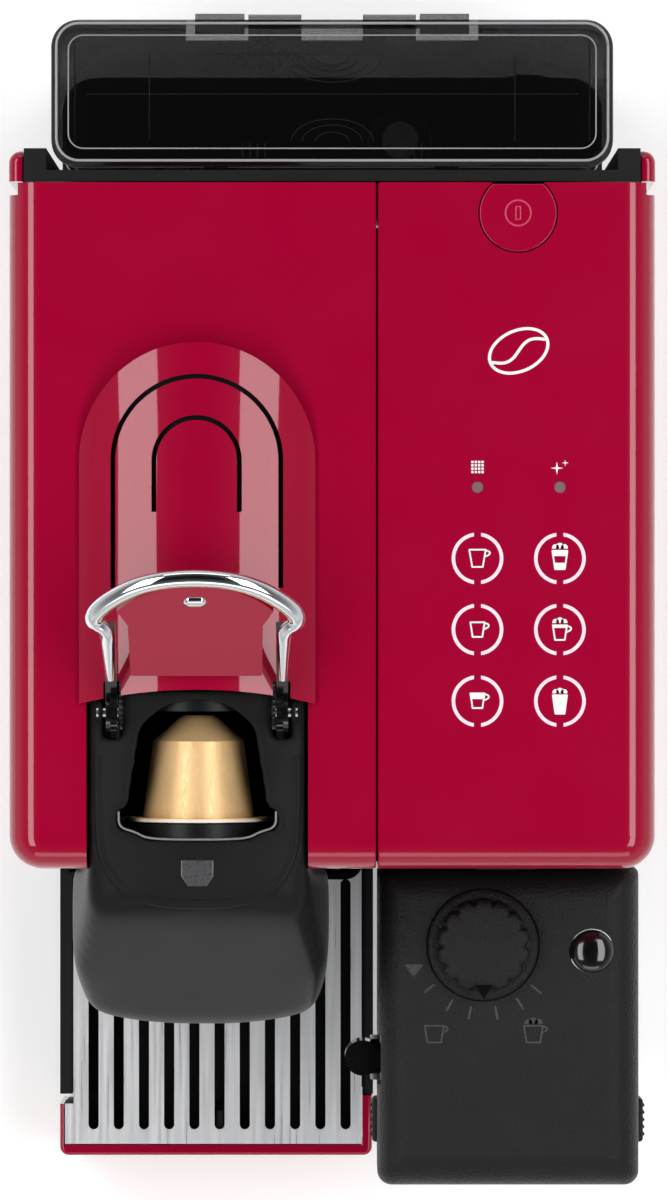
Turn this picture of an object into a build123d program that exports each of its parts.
"""Pod coffee machine with a docked milk jug, a lift-out water tank and a pull-out drip tray.

Millimetres. +Z is up, the front is -Y, and the origin is on the table under the middle of the
machine's box. Each sub-part is one block that ends in save(), which writes one STEP file.
"""

import os
from math import acos, cos, pi, radians, sin, sqrt

from build123d import *

os.makedirs("parts", exist_ok=True)

# ---- driving dimensions -------------------------------------------------------------------------
WIDTH = 173.0  # over the two red side walls
TOP = 244.0  # flat top of the housing
FRONT = -68.5  # front face of the housing
REAR = 115.0  # back edge of the red shells
MACHINE_FRONT = -160.0  # front of the drip tray trim
MACHINE_REAR = 160.0  # back of the tank lid hinge
SHELL_FOOT = 10.0  # lower edge of the red shells
WALL = 2.2  # moulded wall
SEAM_X = 12.0  # joint between the two red shells
SEAM_GAP = 0.5
APRON_LOW = 190.0  # lower edge of the red front apron
FIT = 0.3  # clearance between neighbouring mouldings
FLOOR = 3.0  # underside of the chassis, above the feet

HEAD_X = -36.0  # centre line of the brewing head
HOOD_ARC_Y = 40.6  # centre of the hood's round end
HOOD_R = 31.5  # outer radius of the hood on the flat top
HOOD_CREST = 254.5
BARREL_R = 60.0  # crown radius across the hood
HOOD_FRONT = -24.4  # front tips of the hood
HEAD_HOLE = 29.6  # half width of the opening for the brewing head
NOSE_BOTTOM = 152.0
NOSE_HALF = 29.3
NOSE_BACK = -20.6
NOSE_CREST, NOSE_FALL = 247.6, 7.0  # crest at the back, and its drop over the nose's whole length
NOSE_CROWN_R = 120.0

PIVOT_Y = -26.4  # lever axle
PIVOT_Z = 246.5
LEVER_REST = 46.0  # degrees above horizontal, leaning back, when open
LEVER_SWING = 134.0  # degrees from open to closed
LEG_IN, LEG_OUT = 21.0, 24.4  # lever legs, from the head's centre line

CAPSULE_Z = 226.0  # axis of the pod and the brewing cage
RIM_BACK = -54.9  # back face of the pod's rim
RIM_R = 18.55
POD_TIP = -27.6

GEAR_MODULE = 0.5
HUB_TEETH, PINION_TEETH, WHEEL_TEETH = 26, 16, 30
CAGE_TRAVEL = radians(LEVER_SWING) * HUB_TEETH / PINION_TEETH * WHEEL_TEETH * GEAR_MODULE / 2
CAGE_LIP = RIM_BACK + 0.2 + CAGE_TRAVEL  # front edge of the cage when the lever is open
CAGE_R = 18.8
IDLER_BEHIND = 3.0  # how far the idler axle stands behind the lever's axle
IDLER_Y = PIVOT_Y + IDLER_BEHIND
CENTRES = (HUB_TEETH + PINION_TEETH) * GEAR_MODULE / 2
IDLER_Z = PIVOT_Z - sqrt(CENTRES**2 - IDLER_BEHIND**2)
RACK_Z = IDLER_Z - WHEEL_TEETH * GEAR_MODULE / 2
AXLE_R, BORE_R = 1.6, 1.65

TRAY_LEFT, TRAY_RIGHT = -80.2, 12.0  # outside of the tray bay's rails
RAIL = 3.6
GRID_TOP = 38.0
BAY_FRONT = -142.0  # front end of the rails

LID_LEFT, LID_RIGHT = 12.4, 84.4  # milk lid
LID_FRONT, LID_BACK = -157.6, -70.0
LID_LOW, LID_TOP = 158.0, 188.0
KNOB_X, KNOB_Y = 41.4, -91.1
CLEAN_X, CLEAN_Y = 71.3, -92.9
PORT_X, PORT_Z = 48.0, 170.0  # steam connector
SPOUT_Y, SPOUT_X, SPOUT_Z = -123.0, 15.5, 168.0

TANK_HALF = 75.0
TANK_FRONT, TANK_BACK = 119.4, 158.2
TANK_LOW, TANK_TOP = 24.0, 237.0
LID_H = 8.0  # height of the tank lid
SHELF_TOP = 22.0


def save(piece, name):
    """Labels a finished sub-part and writes it to its own STEP file."""
    piece.part.label = name
    export_step(piece.part, f"parts/{name}.step")
    print(name, round(piece.part.volume))


def barrel(offset, radius=BARREL_R):
    """How far the crowned surface has fallen at a distance from its crest."""
    return radius - sqrt(radius**2 - offset**2)


def centred(low, high):
    """Middle and length of a stretch."""
    return (low + high) / 2, high - low


def block(x, y, z, mode=Mode.ADD):
    """A box given by its three stretches (low, high), placed in the row frame."""
    spans = [centred(*x), centred(*y), centred(*z)]
    with Locations(Location(tuple(s[0] for s in spans))):
        return Box(*(s[1] for s in spans), mode=mode)


def rod(start, end, radius, mode=Mode.ADD):
    """A straight round bar from one point to another."""
    axis = Vector(*end) - Vector(*start)
    plane = Plane(origin=start, z_dir=axis)
    with Locations(plane.location):
        return Cylinder(radius, axis.length, align=(Align.CENTER, Align.CENTER, Align.MIN), mode=mode)


# ---- chassis ------------------------------------------------------------------------------------
BASE_HALF = 80.2
FEET = [(-70.0, -128.0), (0.0, -128.0), (70.0, -50.0), (-70.0, 140.0), (70.0, 140.0)]
SCREWS = [(-74.0, 30.0), (-74.0, 70.0), (74.0, -20.0), (74.0, 70.0), (20.0, 70.0)]
SCREW_HEAD_R, SCREW_SHANK_R = 3.0, 1.5
BASE_FLOOR = 2.2

with BuildPart() as chassis:
    with BuildSketch(Plane.XY.offset(FLOOR)):
        with BuildLine():
            Polyline(
                (-BASE_HALF, BAY_FRONT),
                (TRAY_RIGHT, BAY_FRONT),
                (TRAY_RIGHT, FRONT + 2.6),
                (BASE_HALF, FRONT + 2.6),
                (BASE_HALF, REAR - 3),
                (-BASE_HALF, REAR - 3),
                close=True,
            )
        make_face()
    extrude(amount=BASE_FLOOR)
    for low, high in ((-BASE_HALF, -BASE_HALF + RAIL), (TRAY_RIGHT - RAIL + 0.6, TRAY_RIGHT)):
        block((low, high), (BAY_FRONT, FRONT + 2), (FLOOR, GRID_TOP - 2))
    block((-BASE_HALF, -BASE_HALF + RAIL), (FRONT, REAR - 3), (FLOOR, 30))
    block((BASE_HALF - RAIL, BASE_HALF), (FRONT + 2.6, REAR - 3), (FLOOR, 30))
    block((-BASE_HALF, BASE_HALF), (REAR - 6, REAR - 3), (FLOOR, 30))
    block((TRAY_RIGHT, TRAY_RIGHT + 3), (FRONT + 2.6, REAR - 6), (FLOOR, 120))
    block((TRAY_LEFT + RAIL, TRAY_RIGHT), (12, 15), (FLOOR, 120))
    rod((TRAY_RIGHT - 1, 92, 26), (TRAY_RIGHT + 4, 92, 26), 3.6, Mode.SUBTRACT)
    with Locations(*[(x, y, FLOOR + 1) for x, y in SCREWS]):
        Cylinder(SCREW_HEAD_R + 0.2, 2, mode=Mode.SUBTRACT)
        Cylinder(SCREW_SHANK_R + 0.2, 12, mode=Mode.SUBTRACT)
save(chassis, "chassis")

with BuildPart() as rubber_feet:
    with Locations(*[(x, y, 0) for x, y in FEET]):
        Cylinder(7, FLOOR, align=(Align.CENTER, Align.CENTER, Align.MIN))
    chamfer(rubber_feet.faces().sort_by(Axis.Z)[:5].edges(), 0.6)
save(rubber_feet, "rubber_feet")

with BuildPart() as case_screws:
    for x, y in SCREWS:
        with Locations((x, y, FLOOR + 0.2)):
            Cylinder(SCREW_HEAD_R, 1.7, align=(Align.CENTER, Align.CENTER, Align.MIN))
            Cylinder(SCREW_SHANK_R, 9, align=(Align.CENTER, Align.CENTER, Align.MIN))
            Box(3.6, 0.7, 1.0, mode=Mode.SUBTRACT)
            Box(0.7, 3.6, 1.0, mode=Mode.SUBTRACT)
save(case_screws, "case_screws")

# ---- red shells ---------------------------------------------------------------------------------
SHELL_CORNER, SHELL_ROUND = 9.0, 8.0
POWER_X, POWER_Y, POWER_R = 49.65, 106.8, 10.3
LAMP_X = (38.8, 60.8)
LAMP_Y, LAMP_R = 33.6, 1.5


def housing_block(inset):
    """The housing's outer form, or with an inset the space inside its walls."""
    half = WIDTH / 2 - inset
    with BuildPart() as form:
        block((-half, half), (FRONT + inset, REAR), (SHELL_FOOT, TOP - inset))
        fillet(form.edges().filter_by(Axis.Z).group_by(Axis.Y)[0], SHELL_CORNER - inset)
        top_face = form.faces().sort_by(Axis.Z)[-1]
        rounded = top_face.edges().sort_by(Axis.Y)[:-1]
        fillet(rounded, SHELL_ROUND - inset)
    return form.part


outer_form = housing_block(0)
inner_form = housing_block(WALL)

with BuildPart() as shells:
    add(outer_form)
    add(inner_form, mode=Mode.SUBTRACT)
    block((-78.5, 78.5), (FRONT - 1, FRONT + WALL + 1), (0, APRON_LOW), Mode.SUBTRACT)
    block((-WIDTH, WIDTH), (REAR - WALL - 1, REAR + 1), (0, TOP - WALL), Mode.SUBTRACT)
    block((-80.6, 80.6), (FRONT - 1, -58), (0, GRID_TOP), Mode.SUBTRACT)
    block(
        (HEAD_X - HEAD_HOLE, HEAD_X + HEAD_HOLE),
        (FRONT - 5, HOOD_ARC_Y),
        (APRON_LOW + 5, TOP + 5),
        Mode.SUBTRACT,
    )
    with Locations((HEAD_X, HOOD_ARC_Y, TOP)):
        Cylinder(HEAD_HOLE, 30, mode=Mode.SUBTRACT)
    block(
        (HEAD_X - HEAD_HOLE, HEAD_X + HEAD_HOLE),
        (FRONT - 5, FRONT + WALL + 1),
        (APRON_LOW - 1, TOP),
        Mode.SUBTRACT,
    )
    with Locations((POWER_X, POWER_Y, TOP)):
        Cylinder(POWER_R + 0.35, 12, mode=Mode.SUBTRACT)
    with Locations(*[(x, LAMP_Y, TOP) for x in LAMP_X]):
        Cylinder(LAMP_R + 0.1, 12, mode=Mode.SUBTRACT)

with BuildPart() as left_shell:
    add(shells.part)
    block((SEAM_X - SEAM_GAP / 2, WIDTH), (-200, 200), (0, 300), Mode.SUBTRACT)
    chamfer(left_shell.faces().sort_by(Axis.X)[-1].outer_wire().edges(), 0.4)
save(left_shell, "left_shell")

with BuildPart() as right_shell:
    add(shells.part)
    block((-WIDTH, SEAM_X + SEAM_GAP / 2), (-200, 200), (0, 300), Mode.SUBTRACT)
    chamfer(right_shell.faces().sort_by(Axis.X)[0].outer_wire().edges(), 0.4)
save(right_shell, "right_shell")

TRIM_BACK = 123.6
for side, name in ((-1, "rear_trim_left"), (1, "rear_trim_right")):
    with BuildPart() as trim:
        with BuildSketch(Plane.XY.offset(SHELL_FOOT)):
            with BuildLine():
                Polyline(
                    (side * 82.8, REAR + 0.4),
                    (side * WIDTH / 2, REAR + 0.4),
                    (side * WIDTH / 2, TRIM_BACK),
                    (side * 82.8, TRIM_BACK),
                    close=True,
                )
            make_face()
        extrude(amount=TOP - 3 - SHELL_FOOT)
        outside = 0 if side < 0 else -1
        fillet(trim.edges().filter_by(Axis.Z).sort_by(Axis.Y)[-2:].sort_by(Axis.X)[outside], 3.2)
        fillet(trim.faces().sort_by(Axis.Z)[-1].edges().sort_by(Axis.X)[outside], 2.5)
    save(trim, name)

# ---- rear frame, which holds the tank -----------------------------------------------------------
SOCKET_X, SOCKET_Y = 20.0, 139.0  # where the tank's valve lands
GLAND_X, GLAND_Z = 58.0, 13.0

with BuildPart() as rear_frame:
    block((-82.4, 82.4), (REAR + 0.4, 118.4), (FLOOR, TOP - 1.5))
    block((-82.4, -76.4), (118.4, 124.2), (FLOOR, TOP - 1.5))
    block((76.4, 82.4), (118.4, 124.2), (FLOOR, TOP - 1.5))
    block((-80, 80), (118.4, 158.4), (FLOOR, SHELF_TOP))
    fillet(rear_frame.edges().filter_by(Axis.Z).group_by(Axis.Y)[-1], 10)
    block((-77.4, 77.4), (120.8, 156), (0, SHELF_TOP - 2.4), Mode.SUBTRACT)
    with Locations((SOCKET_X, SOCKET_Y, SHELF_TOP)):
        Cylinder(9.5, 12, mode=Mode.SUBTRACT)
    with Locations(Plane(origin=(GLAND_X, 158.4, GLAND_Z), z_dir=(0, 1, 0)).location):
        Cylinder(5.2, 12, mode=Mode.SUBTRACT)
    for x in range(-60, -9, 10):
        block((x, x + 4), (REAR - 1, 120), (150, 200), Mode.SUBTRACT)
    for x, y in FEET[3:]:
        with Locations((x, y, FLOOR)):
            Cylinder(9, SHELF_TOP - FLOOR - 1, align=(Align.CENTER, Align.CENTER, Align.MIN))
save(rear_frame, "rear_frame")

with BuildPart() as cord_gland:
    with Locations(Plane(origin=(GLAND_X, 154, GLAND_Z), z_dir=(0, 1, 0)).location):
        Cylinder(5.0, 5.6, align=(Align.CENTER, Align.CENTER, Align.MIN))
        Cylinder(6.6, 1.8, align=(Align.CENTER, Align.CENTER, Align.MIN))
        Hole(3.3)
save(cord_gland, "cord_gland")

with BuildPart() as tank_socket:
    with Locations((SOCKET_X, SOCKET_Y, 12)):
        Cylinder(9.3, SHELF_TOP - 12, align=(Align.CENTER, Align.CENTER, Align.MIN))
        Cylinder(4, 20, align=(Align.CENTER, Align.CENTER, Align.MIN), mode=Mode.SUBTRACT)
    with Locations((SOCKET_X, SOCKET_Y, 16)):
        Cylinder(7.4, 10, align=(Align.CENTER, Align.CENTER, Align.MIN), mode=Mode.SUBTRACT)
    rod((SOCKET_X, SOCKET_Y - 5, 14), (SOCKET_X, SOCKET_Y + 5, 14), 0.9)
    rod((SOCKET_X, SOCKET_Y, 13.4), (SOCKET_X, SOCKET_Y, 20.5), 1.2)
save(tank_socket, "tank_socket")

# ---- hood over the brewing head -----------------------------------------------------------------
HOOD_SKIN = 2.6
HOOD_EDGE, HOOD_EDGE_R = -20.3, 129.0  # the front edge curves back in the middle
OUTER_VENT, INNER_VENT = (23.0, 21.7), (12.0, 10.7)  # outer and inner radii of the two U-shaped slots
OUTER_VENT_END, INNER_VENT_END = 6.7, 26.9
LEVER_SLOT = (20.2, 24.9)
LEVER_SLOT_HALF = 7.2


def crowned_solid(crest, radius, back, front, half, low, fall=0.0):
    """A bar along Y with a crowned top whose crest line drops evenly from back to front."""
    rise = Vector(0, -(back - front), -fall).normalized()
    section = Plane(
        origin=(HEAD_X, back + 5, crest + 5 * fall / (back - front)),
        x_dir=(1, 0, 0),
        z_dir=rise,
    )
    with BuildPart() as bar:
        with BuildSketch(section):
            with Locations((0, -radius)):
                Circle(radius)
        extrude(amount=back - front + 10)
        block((HEAD_X - half, HEAD_X + half), (front, back), (low, crest + 5), Mode.INTERSECT)
    return bar.part


def u_shape(plane, outer, end):
    """The filled U of the hood's plan: a half round at the back and straight sides to its end."""
    with BuildSketch(plane) as face:
        with Locations((HEAD_X, HOOD_ARC_Y)):
            Circle(outer)
        length = HOOD_ARC_Y - end
        with Locations((HEAD_X, HOOD_ARC_Y - length / 2)):
            Rectangle(2 * outer, length)
    return face.sketch


hood_outer = crowned_solid(HOOD_CREST, BARREL_R, HOOD_ARC_Y + HOOD_R + 1, HOOD_FRONT, HOOD_R, TOP + 0.3)
hood_inner = crowned_solid(
    HOOD_CREST - HOOD_SKIN, BARREL_R - HOOD_SKIN, HOOD_ARC_Y + HOOD_R, HOOD_FRONT - 1, HOOD_R - 2, TOP - 3
)
hood_plan = u_shape(Plane.XY.offset(TOP), HOOD_R, HOOD_FRONT)
hood_core = u_shape(Plane.XY.offset(TOP - 2), HOOD_R - 2.2, HOOD_FRONT - 2)
vent_plane = Plane.XY.offset(TOP + 1)
outer_vent = [u_shape(vent_plane, radius, OUTER_VENT_END) for radius in OUTER_VENT]
inner_vent = [u_shape(vent_plane, radius, INNER_VENT_END) for radius in INNER_VENT]

with BuildPart() as hood_room:
    add(hood_inner)
    extrude(hood_core, amount=30, mode=Mode.INTERSECT)

with BuildPart() as hood:
    add(hood_outer)
    extrude(hood_plan, amount=30, mode=Mode.INTERSECT)
    add(hood_room.part, mode=Mode.SUBTRACT)
    for ring in (outer_vent, inner_vent):
        extrude(ring[0] - ring[1], amount=20, mode=Mode.SUBTRACT)
    with Locations((HEAD_X, HOOD_EDGE - HOOD_EDGE_R, TOP + 5)):
        Cylinder(HOOD_EDGE_R, 30, mode=Mode.SUBTRACT)
    for side in (-1, 1):
        slot = sorted((HEAD_X + side * LEVER_SLOT[0], HEAD_X + side * LEVER_SLOT[1]))
        block(slot, (PIVOT_Y - 10, PIVOT_Y + LEVER_SLOT_HALF + 1), (TOP - 5, 260), Mode.SUBTRACT)
save(hood, "hood")

with BuildPart() as vent_grille:
    add(hood_inner.moved(Location((0, 0, -0.4))))
    extrude(u_shape(Plane.XY.offset(TOP - 4), 27.4, OUTER_VENT_END - 4), amount=30, mode=Mode.INTERSECT)
    add(hood_inner.moved(Location((0, 0, -1.8))), mode=Mode.SUBTRACT)
save(vent_grille, "vent_grille")

# ---- black nose of the brewing head -------------------------------------------------------------
NOSE_WALL = 2.0
CHEEK_HALF, CHEEK_Z = 35.3, 192.0
LIP_Y = -115.0
NOSE_TIP = (31.2, -110.4)  # front corner of the nose's plan, from the head's centre line


def nose_form(inset):
    """The nose as the meeting of its side view, front view and plan, less an inset all round."""
    side_plane = Plane.YZ.offset(HEAD_X - 60)
    with BuildPart() as side_view:
        with BuildSketch(side_plane):
            with BuildLine():
                top = Line((NOSE_BACK + inset, 256), (-72, 256 - inset))
                brow = Line((-75.5, 243.6 - inset), (-79.5 + inset, 240.6 - inset))
                Line(top @ 1, (-75.5, 256 - inset))
                Line((-75.5, 256 - inset), brow @ 0)
                face = Line((-84.5 + inset, 231), (-111 + inset, 172))
                Line(brow @ 1, face @ 0)
                lip = ThreePointArc(face @ 1, (LIP_Y + 0.6 + inset, 162), (LIP_Y + inset, 155))
                chin = Line(lip @ 1, (LIP_Y + 3 + inset, NOSE_BOTTOM + inset))
                under = Line(chin @ 1, (FRONT + 2.4, NOSE_BOTTOM + inset))
                heel = Line(under @ 1, (FRONT + 2.4, 200 + inset))
                belly = Line(heel @ 1, (NOSE_BACK + inset, 200 + inset))
                Line(belly @ 1, top @ 0)
            make_face()
        extrude(amount=120)
    with BuildPart() as front_view:
        with BuildSketch(Plane.XZ.offset(-NOSE_BACK)):
            with BuildLine():
                right = [
                    (27.4 - inset, 256),
                    (27.6 - inset, 244.6),
                    (NOSE_HALF - inset, 240.5),
                    (CHEEK_HALF - inset, CHEEK_Z),
                    (34.4 - inset, 162),
                    (30.5 - inset, NOSE_BOTTOM + inset),
                ]
                left = [(-x, z) for x, z in reversed(right)]
                Polyline(*[(HEAD_X + x, z) for x, z in right + left], close=True)
            make_face()
        extrude(amount=100)
    with BuildPart() as plan_view:
        with BuildSketch(Plane.XY.offset(NOSE_BOTTOM - 5)):
            with BuildLine():
                outline = [
                    (NOSE_TIP[0] - inset, NOSE_TIP[1] + inset),
                    (CHEEK_HALF - 0.6, -99),
                    (CHEEK_HALF, -88),
                    (CHEEK_HALF, FRONT - 0.3 - inset),
                    (NOSE_HALF - inset, FRONT - 0.3 - inset),
                    (NOSE_HALF - inset, NOSE_BACK + inset),
                ]
                mirrored = [(-x, y) for x, y in reversed(outline)]
                edge = Polyline(*[(HEAD_X + x, y) for x, y in outline + mirrored])
                ThreePointArc(edge @ 0, (HEAD_X, LIP_Y + inset), edge @ 1)
            make_face()
        extrude(amount=120)
    crown = crowned_solid(
        NOSE_CREST - inset, NOSE_CROWN_R, NOSE_BACK, -120, CHEEK_HALF, NOSE_BOTTOM - 2, NOSE_FALL
    )
    return side_view.part & front_view.part & plan_view.part & crown


nose_outer = nose_form(0)
nose_inner = nose_form(NOSE_WALL)

EAR = (24.8, 26.8)  # ears that hold the lever's pins, from the head's centre line
POD_SLOT = [(15.2, -31.0), (18.6, -52.4), (21.4, -52.4), (21.4, -57.4), (16.5, -58.6), (13.5, -60.3)]
OUTLET_X, OUTLET_Y = HEAD_X, -93.0

with BuildPart() as nose:
    add(nose_outer)
    add(nose_inner, mode=Mode.SUBTRACT)
    block((HEAD_X - 27.2, HEAD_X + 27.2), (-68, 0), (190, 210), Mode.SUBTRACT)
    block((HEAD_X - 26.8, HEAD_X + 26.8), (-68, -60), (160, 190), Mode.SUBTRACT)
    block((HEAD_X - 26.8, HEAD_X + 26.8), (NOSE_BACK - 4, 0), (190, 241), Mode.SUBTRACT)
    with BuildSketch(Plane.XY.offset(230)):
        with BuildLine():
            right_side = Polyline(*[(HEAD_X + x, y) for x, y in POD_SLOT])
            left_side = Polyline(*[(HEAD_X - x, y) for x, y in POD_SLOT])
            ThreePointArc(right_side @ 0, (HEAD_X, -23.2), left_side @ 0)
            Line(right_side @ 1, left_side @ 1)
        make_face()
    extrude(amount=30, mode=Mode.SUBTRACT)
    for side in (-1, 1):
        slot = sorted((HEAD_X + side * LEVER_SLOT[0], HEAD_X + side * LEVER_SLOT[1]))
        block(slot, (PIVOT_Y - LEVER_SLOT_HALF, -10), (236, 260), Mode.SUBTRACT)
        wheel_room = (HEAD_X + side * 18.9, HEAD_X + side * 21.3)
        rod((wheel_room[0], IDLER_Y, IDLER_Z), (wheel_room[1], IDLER_Y, IDLER_Z), 8.2, Mode.SUBTRACT)
        ear = (HEAD_X + side * EAR[0], HEAD_X + side * EAR[1])
        rod((ear[0], PIVOT_Y, PIVOT_Z), (ear[1], PIVOT_Y, PIVOT_Z), 3.2)
        block(tuple(sorted(ear)), (PIVOT_Y - 3.2, PIVOT_Y + 3.2), (PIVOT_Z - 5, PIVOT_Z))
        rod((ear[0], PIVOT_Y, PIVOT_Z), (ear[1], PIVOT_Y, PIVOT_Z), AXLE_R, Mode.SUBTRACT)
    with Locations((OUTLET_X, OUTLET_Y, NOSE_BOTTOM)):
        Cylinder(10.3, 12, mode=Mode.SUBTRACT)
save(nose, "nose")

with BuildPart() as coffee_outlet:
    with Locations((OUTLET_X, OUTLET_Y, 142)):
        Cylinder(7, 14, align=(Align.CENTER, Align.CENTER, Align.MIN))
        Cylinder(12.5, 1.8, align=(Align.CENTER, Align.CENTER, Align.MIN))
    with Locations((OUTLET_X, OUTLET_Y, 152)):
        Cylinder(10, 17, align=(Align.CENTER, Align.CENTER, Align.MIN))
    with Locations((OUTLET_X - 3, OUTLET_Y, 140), (OUTLET_X + 3, OUTLET_Y, 140)):
        Cylinder(1.6, 40, align=(Align.CENTER, Align.CENTER, Align.MIN), mode=Mode.SUBTRACT)
save(coffee_outlet, "coffee_outlet")

# ---- brewing unit -------------------------------------------------------------------------------
PLATE_IN, PLATE_OUT = 24.8, 26.6  # side plates of the brew frame, from the head's centre line
GUIDE_X, GUIDE_Z, GUIDE_R = 22.4, 211.0, 1.6
CAGE_LENGTH = 32.0
CAGE_FLOOR = 28.2  # depth of the cage's inside, from its lip
NEEDLE_LENGTH, NEEDLE_CIRCLE = 0.8, 3.2
FRAME_BACK = CAGE_LIP + CAGE_LENGTH + 6
POD_FACE = RIM_BACK - 1.0  # front face of the pod's rim


def side_slab(side, low, high):
    """The stretch of X between two distances from the head's centre line, on one side of it."""
    return tuple(sorted((HEAD_X + side * low, HEAD_X + side * high)))


def gear_outline(plane, centre, teeth, first_angle):
    """A spur gear's face: slim straight-sided teeth on a root circle, the first tooth at an angle."""
    pitch_r = teeth * GEAR_MODULE / 2
    root, tip = pitch_r - 0.85 * GEAR_MODULE, pitch_r + 0.6 * GEAR_MODULE
    step = 2 * pi / teeth
    corners = []
    for tooth in range(teeth):
        middle = first_angle + tooth * step
        for radius, offset in ((root, -0.27), (tip, -0.11), (tip, 0.11), (root, 0.27)):
            angle = middle + offset * step
            corners.append((centre[0] + radius * cos(angle), centre[1] + radius * sin(angle)))
    with BuildSketch(plane) as face:
        with BuildLine():
            Polyline(*corners, close=True)
        make_face()
    return face.sketch


with BuildPart() as brew_frame:
    for side in (-1, 1):
        block(side_slab(side, PLATE_IN, PLATE_OUT), (-64.5, FRAME_BACK), (200, 238.4))
        block(side_slab(side, PLATE_IN, 40), (-16, FRAME_BACK), (238.4, TOP - WALL - 0.2))
        block(side_slab(side, PLATE_IN - 2, PLATE_IN), (-17, FRAME_BACK + 1), (238.4, 250), Mode.SUBTRACT)
        block(side_slab(side, 19.4, PLATE_IN), (FRAME_BACK - 2.5, FRAME_BACK), (205, 216))
        x_in, x_out = HEAD_X + side * 18.95, HEAD_X + side * PLATE_IN
        rod((x_out, IDLER_Y, IDLER_Z), (x_in, IDLER_Y, IDLER_Z), AXLE_R)
        guide_x = HEAD_X + side * GUIDE_X
        rod((guide_x, -62, GUIDE_Z), (guide_x, FRAME_BACK, GUIDE_Z), GUIDE_R)
    block((HEAD_X - PLATE_OUT, HEAD_X + PLATE_OUT), (-64.5, FRAME_BACK), (197.8, 200))
    block((HEAD_X - 20.2, HEAD_X + 20.2), (-61.5, -27), (195, 201), Mode.SUBTRACT)
    block((HEAD_X - PLATE_IN, HEAD_X + PLATE_IN), (-64.5, -62), (200, 205.6))
    for side in (-1, 1):
        block(side_slab(side, 19, PLATE_IN), (-64.5, -62), (205, 214))
    block((HEAD_X - PLATE_OUT, HEAD_X + PLATE_OUT), (FRAME_BACK, FRAME_BACK + 2), (197.8, 222))
    with BuildSketch(Plane.XZ.offset(-RIM_BACK)):
        with Locations((HEAD_X, CAPSULE_Z)):
            Circle(21.2)
            Circle(RIM_R + 0.15, mode=Mode.SUBTRACT)
        with Locations((HEAD_X, CAPSULE_Z + 16)):
            Rectangle(60, 32, mode=Mode.SUBTRACT)
    extrude(amount=3.0)
    block((HEAD_X - 25, HEAD_X + 25), (-62.2, RIM_BACK - 1.4), (204, 205.8))
    rod((HEAD_X, -62, CAPSULE_Z), (HEAD_X, -40, CAPSULE_Z), RIM_R + 0.15, Mode.SUBTRACT)
save(brew_frame, "brew_frame")

with BuildPart() as lever_pins:
    for side in (-1, 1):
        rod((HEAD_X + side * EAR[1], PIVOT_Y, PIVOT_Z), (HEAD_X + side * 21.0, PIVOT_Y, PIVOT_Z), AXLE_R)
save(lever_pins, "lever_pins")

with BuildPart() as extraction_plate:
    rod((HEAD_X, POD_FACE - 0.5, CAPSULE_Z), (HEAD_X, POD_FACE - 4.5, CAPSULE_Z), 18.4)
    rod((HEAD_X, POD_FACE - 4.5, CAPSULE_Z), (HEAD_X, POD_FACE - 10.5, CAPSULE_Z), 15)
    rod((HEAD_X, POD_FACE, CAPSULE_Z), (HEAD_X, POD_FACE - 0.8, CAPSULE_Z), 15.5, Mode.SUBTRACT)
    with BuildSketch(Plane.XZ.offset(-POD_FACE + 0.5)):
        with Locations((HEAD_X, CAPSULE_Z)):
            with GridLocations(4.2, 4.2, 6, 6):
                Rectangle(2.6, 2.6)
    extrude(amount=0.6, taper=25)
    block((HEAD_X - 6, HEAD_X + 6), (-82, POD_FACE - 4.6), (206, 215))
    rod((HEAD_X, -77, 207), (HEAD_X, OUTLET_Y, 176), 4.0)
    rod((HEAD_X, -76, 209), (HEAD_X, OUTLET_Y, 176), 2.6, Mode.SUBTRACT)
save(extraction_plate, "extraction_plate")

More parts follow.
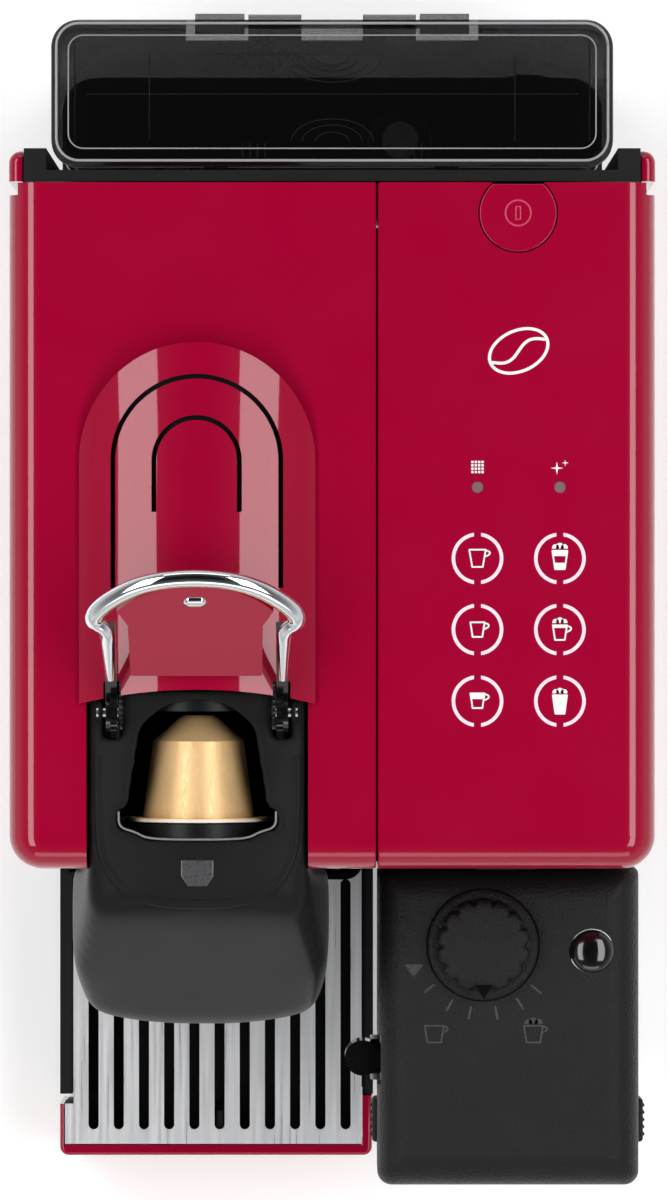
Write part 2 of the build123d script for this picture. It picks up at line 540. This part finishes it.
with BuildPart() as brew_cage:
    back = CAGE_LIP + CAGE_LENGTH
    rod((HEAD_X, CAGE_LIP, CAPSULE_Z), (HEAD_X, back, CAPSULE_Z), CAGE_R)
    with BuildSketch(Plane.YZ.offset(HEAD_X)):
        with BuildLine():
            Polyline(
                (CAGE_LIP - 1, CAPSULE_Z),
                (CAGE_LIP - 1, CAPSULE_Z + 15.9),
                (CAGE_LIP + 21.0, CAPSULE_Z + 12.9),
                (CAGE_LIP + CAGE_FLOOR, CAPSULE_Z + 6.0),
                (CAGE_LIP + CAGE_FLOOR, CAPSULE_Z),
                close=True,
            )
        make_face()
    revolve(axis=Axis((HEAD_X, 0, CAPSULE_Z), (0, 1, 0)), mode=Mode.SUBTRACT)
    for side in (-1, 1):
        block(side_slab(side, 17.4, 20.8), (CAGE_LIP + 0.1, back), (RACK_Z - 5, RACK_Z - 0.5))
        block(side_slab(side, 14.0, 24.4), (CAGE_LIP + 0.1, back), (208.4, 213.6))
    rod((HEAD_X, CAGE_LIP - 1, CAPSULE_Z), (HEAD_X, CAGE_LIP + 20, CAPSULE_Z), 15.5, Mode.SUBTRACT)
    for side in (-1, 1):
        guide_x = HEAD_X + side * GUIDE_X
        rod((guide_x, CAGE_LIP - 1, GUIDE_Z), (guide_x, back + 1, GUIDE_Z), GUIDE_R + 0.05, Mode.SUBTRACT)
        x_face = side_slab(side, 19.2, 20.8)[0]
        with BuildSketch(Plane.YZ.offset(x_face)):
            pitch = pi * GEAR_MODULE
            for tooth in range(int(CAGE_TRAVEL / pitch) + 2):
                y = IDLER_Y + (tooth - 0.5) * pitch
                half_root, half_tip = 0.27 * pitch, 0.11 * pitch
                with BuildLine():
                    Polyline(
                        (y - half_root, RACK_Z - 0.55),
                        (y - half_tip, RACK_Z + 0.6 * GEAR_MODULE),
                        (y + half_tip, RACK_Z + 0.6 * GEAR_MODULE),
                        (y + half_root, RACK_Z - 0.55),
                        close=True,
                    )
                make_face()
        extrude(amount=1.6)
    with BuildSketch(Plane.XZ.offset(-CAGE_LIP - CAGE_FLOOR)):
        with Locations((HEAD_X, CAPSULE_Z)):
            with PolarLocations(NEEDLE_CIRCLE, 3, 90):
                Circle(0.8)
    extrude(amount=NEEDLE_LENGTH, taper=8)
save(brew_cage, "brew_cage")

for side, name in ((-1, "idler_gear_left"), (1, "idler_gear_right")):
    with BuildPart() as idler:
        wheel_side = side_slab(side, 19.2, 20.8)
        pinion_side = side_slab(side, 20.8, 23.0)
        wheel = gear_outline(Plane.YZ.offset(wheel_side[0]), (IDLER_Y, IDLER_Z), WHEEL_TEETH, -pi / 2)
        extrude(wheel, amount=1.6)
        from_hub = -acos(IDLER_BEHIND / CENTRES)
        half_tooth = pi / PINION_TEETH
        pinion = gear_outline(
            Plane.YZ.offset(pinion_side[0]), (IDLER_Y, IDLER_Z), PINION_TEETH, from_hub + pi + half_tooth
        )
        extrude(pinion, amount=2.2)
        x_low, x_high = side_slab(side, 19, 23.2)
        rod((x_low, IDLER_Y, IDLER_Z), (x_high, IDLER_Y, IDLER_Z), BORE_R, Mode.SUBTRACT)
    save(idler, name)

# ---- lever --------------------------------------------------------------------------------------
LEVER_UP = (0, -sin(radians(LEVER_REST)), cos(radians(LEVER_REST)))
LEVER_PLANE = Plane(origin=(HEAD_X, PIVOT_Y, PIVOT_Z), x_dir=(1, 0, 0), z_dir=LEVER_UP)
BOW_REACH, BOW_FOOT, BOW_HALF, BOW_R = 51.4, 36.5, 25.4, 2.1
NUB_REACH = 43.0

with BuildPart() as lever_bow:
    with BuildLine(LEVER_PLANE):
        bow_line = ThreePointArc((-BOW_HALF, BOW_FOOT), (0, BOW_REACH), (BOW_HALF, BOW_FOOT))
    with BuildSketch(Plane(origin=bow_line @ 0, z_dir=bow_line % 0)):
        Circle(BOW_R)
    sweep(path=bow_line)
    with BuildSketch(LEVER_PLANE):
        for side in (-1, 1):
            corners = [(21.2, 17), (24.2, 9.5), (24.4, 30), (26.6, 38.4), (23.2, 37.0), (21.2, 32)]
            with BuildLine():
                Polyline(*[(side * x, u) for x, u in corners], close=True)
            make_face()
    extrude(amount=1.5)
save(lever_bow, "lever_bow")

with BuildPart() as lever_nub:
    with BuildSketch(LEVER_PLANE.offset(-1.0)):
        with Locations((0, NUB_REACH)):
            SlotOverall(6.2, 3.6)
    extrude(amount=2.3)
save(lever_nub, "lever_nub")

with BuildPart() as lever_shield:
    with BuildSketch(LEVER_PLANE.offset(-1.2)):
        with BuildLine():
            left_foot, right_foot = (-17.4, 14.8), (17.4, 14.8)
            left_top, right_top = (-20.6, 39.4), (20.6, 39.4)
            Polyline(left_top, (-17.8, 34.0), left_foot, right_foot, (17.8, 34.0), right_top)
            ThreePointArc(left_top, (0, BOW_REACH - BOW_R - 0.1), right_top)
        make_face()
        with Locations((0, NUB_REACH)):
            SlotOverall(6.3, 3.7, mode=Mode.SUBTRACT)
    extrude(amount=1.9)
save(lever_shield, "lever_shield")

for side, name in ((-1, "lever_arm_left"), (1, "lever_arm_right")):
    with BuildPart() as arm:
        inner, outer = side_slab(side, LEG_IN, LEG_OUT)
        with BuildSketch(LEVER_PLANE.offset(-1.7)):
            with BuildLine():
                corners = [(21.2, 0), (21.2, 33), (24.3, 33), (24.3, 0)]
                Polyline(*[(side * x, u) for x, u in corners], close=True)
            make_face()
        extrude(amount=1.65)
        hub = gear_outline(
            Plane.YZ.offset(side_slab(side, 21.2, 23.0)[0]),
            (PIVOT_Y, PIVOT_Z),
            HUB_TEETH,
            -acos(IDLER_BEHIND / CENTRES),
        )
        extrude(hub, amount=1.8)
        rod((inner + 0.2, PIVOT_Y, PIVOT_Z), (outer - 0.1, PIVOT_Y, PIVOT_Z), 5.4)
        rod((inner - 1, PIVOT_Y, PIVOT_Z), (outer + 1, PIVOT_Y, PIVOT_Z), BORE_R, Mode.SUBTRACT)
    save(arm, name)

# ---- pod ----------------------------------------------------------------------------------------
with BuildPart() as coffee_pod:
    with BuildSketch(Plane.YZ.offset(HEAD_X)):
        with BuildLine():
            Polyline(
                (POD_FACE, CAPSULE_Z),
                (POD_FACE, CAPSULE_Z + RIM_R),
                (RIM_BACK, CAPSULE_Z + RIM_R),
                (RIM_BACK, CAPSULE_Z + 15.0),
                (-34.4, CAPSULE_Z + 12.2),
                (-28.4, CAPSULE_Z + 5.4),
                (POD_TIP, CAPSULE_Z + 4.2),
                (POD_TIP, CAPSULE_Z),
                close=True,
            )
        make_face()
    revolve(axis=Axis((HEAD_X, 0, CAPSULE_Z), (0, 1, 0)))
save(coffee_pod, "coffee_pod")

# ---- front panel and controls -------------------------------------------------------------------
BIN_TOP = 132.0

with BuildPart() as front_panel:
    block((-78.2, 78.2), (FRONT + 0.3, FRONT + WALL), (SHELL_FOOT, APRON_LOW - FIT))
    block((-77.0, 9.2), (FRONT - 1, FRONT + 3), (0, BIN_TOP + 1.5), Mode.SUBTRACT)
    block((-79, 12.4), (FRONT - 1, FRONT + 3), (0, GRID_TOP), Mode.SUBTRACT)
    block((HEAD_X - 29.6, HEAD_X + 29.6), (FRONT - 1, FRONT + 3), (NOSE_BOTTOM - 0.5, 220), Mode.SUBTRACT)
    rod((PORT_X, FRONT - 1, PORT_Z), (PORT_X, FRONT + 3, PORT_Z), 6.2, Mode.SUBTRACT)
save(front_panel, "front_panel")

with BuildPart() as steam_connector:
    rod((PORT_X, -52, PORT_Z), (PORT_X, -78, PORT_Z), 4.0)
    rod((PORT_X, -64, PORT_Z), (PORT_X, -68.4, PORT_Z), 6.0)
    rod((PORT_X, -40, PORT_Z), (PORT_X, -80, PORT_Z), 2.0, Mode.SUBTRACT)
save(steam_connector, "steam_connector")

RING_R, RING_T = 6.9, 0.95
RING_Y = (14.6, -4.4, -23.5)

with BuildPart() as touch_rings:
    with BuildSketch(Plane.XY.offset(TOP)):
        for x in LAMP_X:
            for y in RING_Y:
                with Locations((x, y)):
                    Circle(RING_R)
                    Circle(RING_R - RING_T, mode=Mode.SUBTRACT)
                    Rectangle(1.9, 2 * RING_R + 1, mode=Mode.SUBTRACT)
    extrude(amount=0.12)
save(touch_rings, "touch_rings")

with BuildPart() as indicator_lenses:
    for x in LAMP_X:
        rod((x, LAMP_Y, TOP - WALL - 2), (x, LAMP_Y, TOP + 0.1), LAMP_R)
        rod((x, LAMP_Y, TOP - WALL - 2), (x, LAMP_Y, TOP - WALL - 0.2), LAMP_R + 1)
save(indicator_lenses, "indicator_lenses")

with BuildPart() as control_board:
    block((27, 77), (-34, 48), (234.4, 236))
    for x, y in ((30, -30), (74, -30), (30, 44), (74, 44)):
        rod((x, y, 236), (x, y, TOP - WALL), 2.2)
    block((44, 60), (-12, 6), (231.8, 234.4))
    block((30, 40), (36, 46), (228.4, 234.4))
save(control_board, "control_board")

with BuildPart() as power_button:
    rod((POWER_X, POWER_Y, TOP - 2.4), (POWER_X, POWER_Y, TOP + 0.4), POWER_R)
    block((POWER_X - 20, POWER_X + 20), (REAR - 0.4, REAR + 20), (TOP - 20, TOP + 5), Mode.SUBTRACT)
    fillet(power_button.faces().sort_by(Axis.Z)[-1].edges(), 0.3)
    rod((POWER_X, POWER_Y, TOP - 7), (POWER_X, POWER_Y, TOP - 2.4), 2.5)
save(power_button, "power_button")

with BuildPart() as power_switch:
    block((POWER_X - 6, POWER_X + 6), (POWER_Y - 5, POWER_Y + 5), (226, 234))
    rod((POWER_X, POWER_Y, 234), (POWER_X, POWER_Y, 235.5), 2)
    block((POWER_X - 14, POWER_X + 14), (REAR - 14, REAR - 0.2), (222, 226))
save(power_switch, "power_switch")

# ---- drip tray, grid and pod bin ----------------------------------------------------------------
TRAY_TOP = 36.0
GRID_LEFT, GRID_RIGHT = -78.7, 8.6
GRID_FRONT, GRID_BACK = -156.6, -75.6
RAIL_END = -144.8  # the left rail starts behind this line
BIN_BACK = 9.5


def tray_plan(plane, inset, back=GRID_BACK):
    """Plan of the tray: full width at the front, stepping in on the left beside the rail."""
    with BuildSketch(plane) as face:
        with BuildLine():
            Polyline(
                (GRID_LEFT + inset, GRID_FRONT + inset),
                (GRID_RIGHT - inset, GRID_FRONT + inset),
                (GRID_RIGHT - inset, back - inset),
                (-76.2 + inset, back - inset),
                (-76.2 + inset, RAIL_END + inset),
                (GRID_LEFT + inset, RAIL_END + inset),
                close=True,
            )
        make_face()
    return face.sketch


tub_plan = tray_plan(Plane.XY.offset(6), 0, BIN_BACK)
tub_room = tray_plan(Plane.XY.offset(8), 1.8)
grid_plan = tray_plan(Plane.XY.offset(TRAY_TOP + 0.2), 0)

with BuildPart() as drip_tray:
    extrude(tub_plan, amount=TRAY_TOP - 6)
    extrude(tub_room, amount=40, mode=Mode.SUBTRACT)
    block((-80, 20), (GRID_BACK, BIN_BACK + 1), (9, 60), Mode.SUBTRACT)
save(drip_tray, "drip_tray")

with BuildPart() as tray_front:
    with BuildSketch(Plane.XY.offset(3.5)):
        with BuildLine():
            Polyline(
                (TRAY_LEFT, RAIL_END),
                (TRAY_LEFT, MACHINE_FRONT),
                (11.7, MACHINE_FRONT),
                (11.7, -142.4),
                (8.9, -142.4),
                (8.9, GRID_FRONT - 0.3),
                (GRID_LEFT - 0.3, GRID_FRONT - 0.3),
                (GRID_LEFT - 0.3, RAIL_END),
                close=True,
            )
        make_face()
    extrude(amount=GRID_TOP - 3.5)
    fillet(tray_front.edges().filter_by(Axis.Z).group_by(Axis.Y)[0], 2.6)
    fillet(tray_front.faces().sort_by(Axis.Z)[-1].edges().sort_by(Axis.Y)[0], 1.2)
save(tray_front, "tray_front")

SLOTS, SLOT_PITCH, SLOT_WIDTH, FIRST_SLOT = 11, 7.42, 3.0, -70.3
SLOT_MIDDLE, SLOT_LENGTH = centred(-152.4, -78.7)

with BuildPart() as drip_grid:
    extrude(grid_plan, amount=GRID_TOP - TRAY_TOP - 0.2)
    with BuildSketch(Plane.XY.offset(TRAY_TOP)):
        for index in range(SLOTS):
            with Locations((FIRST_SLOT + index * SLOT_PITCH, SLOT_MIDDLE)):
                SlotOverall(SLOT_LENGTH, SLOT_WIDTH, rotation=90)
    extrude(amount=5, mode=Mode.SUBTRACT)
save(drip_grid, "drip_grid")

with BuildPart() as tray_float:
    block((-38, -30), (-154.2, -146), (9, 30))
    fillet(tray_float.edges().filter_by(Axis.Z), 1.2)
    block((-34.1, -32.3), (-152, -147), (29, 35.4))
save(tray_float, "tray_float")

with BuildPart() as pod_bin:
    block((-76.2, GRID_RIGHT), (GRID_BACK + 0.3, BIN_BACK), (9.2, BIN_TOP))
    fillet(pod_bin.edges().filter_by(Axis.Z), 5)
    block((-74.2, GRID_RIGHT - 2), (GRID_BACK + 2.3, BIN_BACK - 2), (11.2, BIN_TOP + 5), Mode.SUBTRACT)
save(pod_bin, "pod_bin")

# ---- milk unit ----------------------------------------------------------------------------------
JUG_TOP, JUG_FOOT, JUG_WALL = LID_LOW - 0.3, 42.0, 1.8
LID_WALL = 2.5


def jug_solid(inset, low, high):
    """The jug's tapering form between two heights, with an inset from its outside."""
    with BuildPart() as form:
        for z, lean in ((low, (JUG_TOP - low) / 36), (high, 0.0)):
            x_mid, x_span = centred(LID_LEFT + 2 + lean + inset, LID_RIGHT - 1.5 - lean - inset)
            y_mid, y_span = centred(LID_FRONT + 2 + 2 * lean + inset, LID_BACK - 1.5 - lean - inset)
            with BuildSketch(Plane.XY.offset(z)):
                with Locations((x_mid, y_mid)):
                    RectangleRounded(x_span, y_span, 12 - inset)
        loft()
    return form.part


jug_outer = jug_solid(0, JUG_FOOT, JUG_TOP)
jug_inner = jug_solid(JUG_WALL, JUG_FOOT + JUG_WALL + 0.6, JUG_TOP + 0.5)

with BuildPart() as milk_jug:
    add(jug_outer)
    add(jug_inner, mode=Mode.SUBTRACT)
save(milk_jug, "milk_jug")

with BuildPart() as milk_lid:
    block((LID_LEFT, LID_RIGHT), (LID_FRONT, LID_BACK), (LID_LOW, LID_TOP))
    fillet(milk_lid.edges().filter_by(Axis.Z).group_by(Axis.Y)[0], 4)
    fillet(milk_lid.edges().filter_by(Axis.Z).group_by(Axis.Y)[-1], 2)
    fillet(milk_lid.faces().sort_by(Axis.Z)[-1].edges().sort_by(Axis.Y)[0], 9)
    block(
        (LID_LEFT + LID_WALL, LID_RIGHT - LID_WALL),
        (LID_FRONT + LID_WALL, LID_BACK - LID_WALL),
        (LID_LOW - 1, LID_TOP - 10),
        Mode.SUBTRACT,
    )
    block((30, 66), (-112, LID_BACK - LID_WALL), (LID_LOW + 2, LID_TOP - 9.8))
    rod((KNOB_X, KNOB_Y, LID_TOP - 2), (KNOB_X, KNOB_Y, LID_TOP + 1), 15.6, Mode.SUBTRACT)
    rod((KNOB_X, KNOB_Y, LID_TOP - 12), (KNOB_X, KNOB_Y, LID_TOP), 4.05, Mode.SUBTRACT)
    rod((CLEAN_X, CLEAN_Y, LID_TOP - 12), (CLEAN_X, CLEAN_Y, LID_TOP + 1), 6.2, Mode.SUBTRACT)
    rod((PORT_X, LID_BACK + 1, PORT_Z), (PORT_X, -81, PORT_Z), 4.3, Mode.SUBTRACT)
    block((LID_LEFT - 1, 19), (SPOUT_Y - 6.8, SPOUT_Y + 6.8), (LID_LOW - 1, LID_TOP - 5), Mode.SUBTRACT)
    for x in (LID_LEFT, LID_RIGHT):
        block((x - 4, x + 4), (-146.4, -133.6), (163.6, 176.4), Mode.SUBTRACT)
    rod((40, -100, LID_LOW - 2), (40, -100, LID_LOW + 5), 4.3, Mode.SUBTRACT)
    rod((SPOUT_X - 0.6, SPOUT_Y - 9.5, SPOUT_Z), (SPOUT_X - 0.6, SPOUT_Y + 9.5, SPOUT_Z), 1.5, Mode.SUBTRACT)
    block((39.6, 55.8), (LID_BACK - 0.5, LID_BACK + 1.2), (178, 187))
save(milk_lid, "milk_lid")

with BuildPart() as lid_seal:
    with BuildSketch(Plane.XY.offset(LID_LOW - 6)):
        x_mid, x_span = centred(LID_LEFT + 4.6, LID_RIGHT - 4.1)
        y_mid, y_span = centred(LID_FRONT + 4.6, LID_BACK - 4.1)
        with Locations((x_mid, y_mid)):
            RectangleRounded(x_span, y_span, 9)
            RectangleRounded(x_span - 5, y_span - 5, 7, mode=Mode.SUBTRACT)
    extrude(amount=6)
save(lid_seal, "lid_seal")

with BuildPart() as milk_tube:
    rod((40, -100, JUG_FOOT + 6), (40, -100, LID_LOW + 5), 3.0)
    rod((40, -100, JUG_FOOT + 5), (40, -100, LID_LOW + 6), 1.8, Mode.SUBTRACT)
    rod((40, -100, LID_LOW + 1), (40, -100, LID_LOW + 4.8), 4.2)
    rod((40, -100, LID_LOW), (40, -100, LID_LOW + 6), 1.8, Mode.SUBTRACT)
save(milk_tube, "milk_tube")

with BuildPart() as froth_knob:
    with BuildSketch(Plane.XY.offset(LID_TOP - 1.8)):
        with Locations((KNOB_X, KNOB_Y)):
            Circle(15.3)
    extrude(amount=2.6)
    with BuildSketch(Plane.XY.offset(LID_TOP + 0.8)):
        with Locations((KNOB_X, KNOB_Y)):
            Circle(12.6)
            with PolarLocations(13.4, 14, 13):
                Circle(1.9, mode=Mode.SUBTRACT)
    extrude(amount=8)
    chamfer(froth_knob.faces().sort_by(Axis.Z)[-1].outer_wire().edges(), 0.5)
    rod((KNOB_X, KNOB_Y, LID_TOP - 11), (KNOB_X, KNOB_Y, LID_TOP - 1.8), 4.0)
save(froth_knob, "froth_knob")

with BuildPart() as clean_button:
    rod((CLEAN_X, CLEAN_Y, LID_TOP - 8), (CLEAN_X, CLEAN_Y, LID_TOP + 2.6), 5.9)
    fillet(clean_button.faces().sort_by(Axis.Z)[-1].edges(), 1.4)
save(clean_button, "clean_button")

with BuildPart() as milk_spout:
    rod((SPOUT_X - 0.6, SPOUT_Y - 6.2, SPOUT_Z), (SPOUT_X - 0.6, SPOUT_Y + 6.2, SPOUT_Z), 4.4)
    block((6, SPOUT_X), (SPOUT_Y - 4.2, SPOUT_Y + 4.2), (SPOUT_Z - 3.4, SPOUT_Z + 4.2))
    rod((8.4, SPOUT_Y, SPOUT_Z - 8), (8.4, SPOUT_Y, SPOUT_Z + 6.4), 4.9)
    rod((8.4, SPOUT_Y, SPOUT_Z - 24), (8.4, SPOUT_Y, SPOUT_Z - 8), 4.0)
    rod((8.4, SPOUT_Y, SPOUT_Z - 25), (8.4, SPOUT_Y, SPOUT_Z - 2), 2.2, Mode.SUBTRACT)
    rod((SPOUT_X - 0.6, SPOUT_Y - 8, SPOUT_Z), (SPOUT_X - 0.6, SPOUT_Y + 8, SPOUT_Z), 1.55, Mode.SUBTRACT)
save(milk_spout, "milk_spout")

with BuildPart() as spout_pin:
    rod((SPOUT_X - 0.6, SPOUT_Y - 9.5, SPOUT_Z), (SPOUT_X - 0.6, SPOUT_Y + 9.5, SPOUT_Z), 1.5)
save(spout_pin, "spout_pin")

for side, name in ((-1, "release_left"), (1, "release_right")):
    with BuildPart() as release:
        face_x = LID_LEFT - 1.4 if side < 0 else LID_RIGHT + 1.4
        block(tuple(sorted((face_x, face_x - side * 4.6))), (-146, -134), (164, 176))
        fillet(release.faces().sort_by(Axis.X)[0 if side < 0 else -1].edges(), 1.0)
    save(release, name)

# ---- water tank ---------------------------------------------------------------------------------
TANK_WALL = 2.0
HINGE_Y, HINGE_Z = 157.4, 241.6


def tank_slab(inset, low, high, radius):
    """A box with the tank's plan, less an inset, between two heights."""
    x_mid, x_span = centred(-TANK_HALF + inset, TANK_HALF - inset)
    y_mid, y_span = centred(TANK_FRONT + inset, TANK_BACK - inset)
    with BuildSketch(Plane.XY.offset(low)) as face:
        with Locations((x_mid, y_mid)):
            RectangleRounded(x_span, y_span, radius)
    return extrude(face.sketch, amount=high - low)


tank_form = tank_slab(0.6, TANK_LOW, TANK_TOP - 3, 7)
tank_rim = tank_slab(0, TANK_TOP - 3, TANK_TOP, 7)
tank_room = tank_slab(0.6 + TANK_WALL, TANK_LOW + TANK_WALL + 0.6, TANK_TOP + 1, 5)
with BuildPart() as water_tank:
    add(tank_form)
    add(tank_rim)
    add(tank_room, mode=Mode.SUBTRACT)
    with Locations((SOCKET_X, SOCKET_Y, TANK_LOW)):
        Cylinder(7.0, 8, align=(Align.CENTER, Align.CENTER, Align.MIN))
        Cylinder(7.0, 6, align=(Align.CENTER, Align.CENTER, Align.MAX))
        Cylinder(3.6, 30, mode=Mode.SUBTRACT)
    for x in (-30, 30):
        block((x - 7, x + 7), (TANK_BACK - 2.4, TANK_BACK + 0.6), (TANK_TOP - 12, TANK_TOP))
save(water_tank, "water_tank")

with BuildPart() as valve_seal:
    with Locations((SOCKET_X, SOCKET_Y, TANK_LOW - 5)):
        Cylinder(7.36, 1.6, align=(Align.CENTER, Align.CENTER, Align.MIN))
        Cylinder(7.0, 4, mode=Mode.SUBTRACT)
save(valve_seal, "valve_seal")

with BuildPart() as tank_valve:
    with Locations((SOCKET_X, SOCKET_Y, TANK_LOW - 3.2)):
        Cylinder(2.6, 11.2, align=(Align.CENTER, Align.CENTER, Align.MIN))
    with Locations((SOCKET_X, SOCKET_Y, TANK_LOW + 11.2)):
        Cylinder(5.4, 2.0, align=(Align.CENTER, Align.CENTER, Align.MIN))
    rod((SOCKET_X, SOCKET_Y, TANK_LOW + 7), (SOCKET_X, SOCKET_Y, TANK_LOW + 12), 2.6)
save(tank_valve, "tank_valve")

lid_form = tank_slab(0.0, TANK_TOP + 0.3, TANK_TOP + LID_H, 7)
lid_room = tank_slab(2.2, TANK_TOP - 1, TANK_TOP + LID_H - 2.0, 5)
with BuildPart() as tank_lid:
    add(lid_form)
    chamfer(tank_lid.faces().sort_by(Axis.Z)[-1].edges(), 1.2)
    add(lid_room, mode=Mode.SUBTRACT)
    block((-39, 39), (HINGE_Y - 4.6, MACHINE_REAR + 1), (TANK_TOP - 2, TANK_TOP + LID_H + 2), Mode.SUBTRACT)
    block((-36, 36), (HINGE_Y - 8, HINGE_Y - 4.6), (TANK_TOP + 2, TANK_TOP + LID_H))
    for low, high in ((-22.4, -8.2), (8.2, 22.4)):
        rod((low, HINGE_Y, HINGE_Z), (high, HINGE_Y, HINGE_Z), 2.6)
        block((low, high), (HINGE_Y - 5.6, HINGE_Y), (HINGE_Z - 1.4, HINGE_Z + 2.6))
        rod((low - 1, HINGE_Y, HINGE_Z), (high + 1, HINGE_Y, HINGE_Z), 1.25, Mode.SUBTRACT)
    for x in (-31.0, 30.5):
        block((x - 3.2, x + 3.2), (TANK_FRONT - 0.8, TANK_FRONT + 0.4), (TANK_TOP + 2, TANK_TOP + 6.4))
save(tank_lid, "tank_lid")

with BuildPart() as tank_hinge:
    for x in (-30, 30):
        block((x - 6.6, x + 6.6), (TANK_BACK + 0.6, MACHINE_REAR), (TANK_TOP - 12, TANK_TOP - 0.4))
        block((x - 6.6, x + 6.6), (HINGE_Y - 2.4, MACHINE_REAR), (TANK_TOP + 0.3, HINGE_Z + 2.6))
        block((x - 6.6, x + 6.6), (TANK_BACK + 0.6, MACHINE_REAR), (TANK_TOP - 1, HINGE_Z))
    rod((-36.6, HINGE_Y, HINGE_Z), (36.6, HINGE_Y, HINGE_Z), 1.2)
save(tank_hinge, "tank_hinge")

# ---- inside the housing -------------------------------------------------------------------------
FLOOR_TOP = FLOOR + BASE_FLOOR

with BuildPart() as pump:
    rod((-40, 30, 34), (-40, 74, 34), 19)
    rod((-40, 74, 34), (-40, 92, 34), 12)
    rod((-40, 92, 34), (-40, 100, 34), 4)
    rod((-40, 22, 34), (-40, 30, 34), 6)
    block((-56, -24), (34, 70), (FLOOR_TOP, 34))
save(pump, "pump")

with BuildPart() as thermoblock:
    block((-66, -8), (26, 84), (142, 182))
    fillet(thermoblock.edges().filter_by(Axis.Z), 6)
    rod((-50, 26, 152), (-50, 15, 152), 3.5)
    rod((-24, 26, 152), (-24, 20, 152), 3.5)
    for x in (-36, -14):
        block((x - 3, x + 3), (15.2, 26), (100, 178))
save(thermoblock, "thermoblock")

with BuildPart() as flow_meter:
    rod((40, 92, FLOOR_TOP), (40, 92, 34), 14)
    rod((40, 92, 26), (40, 108.6, 26), 3.2)
    rod((30, 92, 26), (18, 92, 26), 3.2)
save(flow_meter, "flow_meter")

with BuildPart() as steam_valve:
    block((36, 60), (-44, -20), (156, 184))
    rod((PORT_X, -52, PORT_Z), (PORT_X, -44, PORT_Z), 5)
    rod((PORT_X, -20, PORT_Z), (PORT_X, -12, PORT_Z), 3.2)
    block((40, 56), (-44, -22), (184, 206))
    block((15.2, 36), (-38, -28), (100, 164))
save(steam_valve, "steam_valve")

with BuildPart() as power_board:
    block((72, 73.6), (-10, 90), (40, 130))
    block((54, 72), (0, 30), (60, 84))
    block((58, 72), (44, 74), (84, 110))
    block((60, 76.2), (-8, -2), (FLOOR_TOP, 60))
save(power_board, "power_board")


def hose(name, points, radii, bore):
    """A hose round its bends, written as its own node."""
    with BuildPart() as tube:
        with BuildLine():
            path = FilletPolyline(*points, radius=radii)
        with BuildSketch(Plane(origin=path @ 0, z_dir=path % 0)):
            Circle(3.0)
            Circle(bore, mode=Mode.SUBTRACT)
        sweep(path=path)
    save(tube, name)


hose(
    "inlet_hose",
    [(-40, 100.2, 34), (-40, 105, 34), (4, 105, 34), (6, 92, 26.1), (17.8, 92, 26)],
    [4.5, 7, 5],
    1.6,
)
hose(
    "pressure_hose",
    [(-40, 21.8, 34), (-40, 18.2, 34), (-72, 18.2, 34), (-72, 18.2, 152), (-53.6, 18.2, 152)],
    [3.4, 12, 12],
    1.4,
)
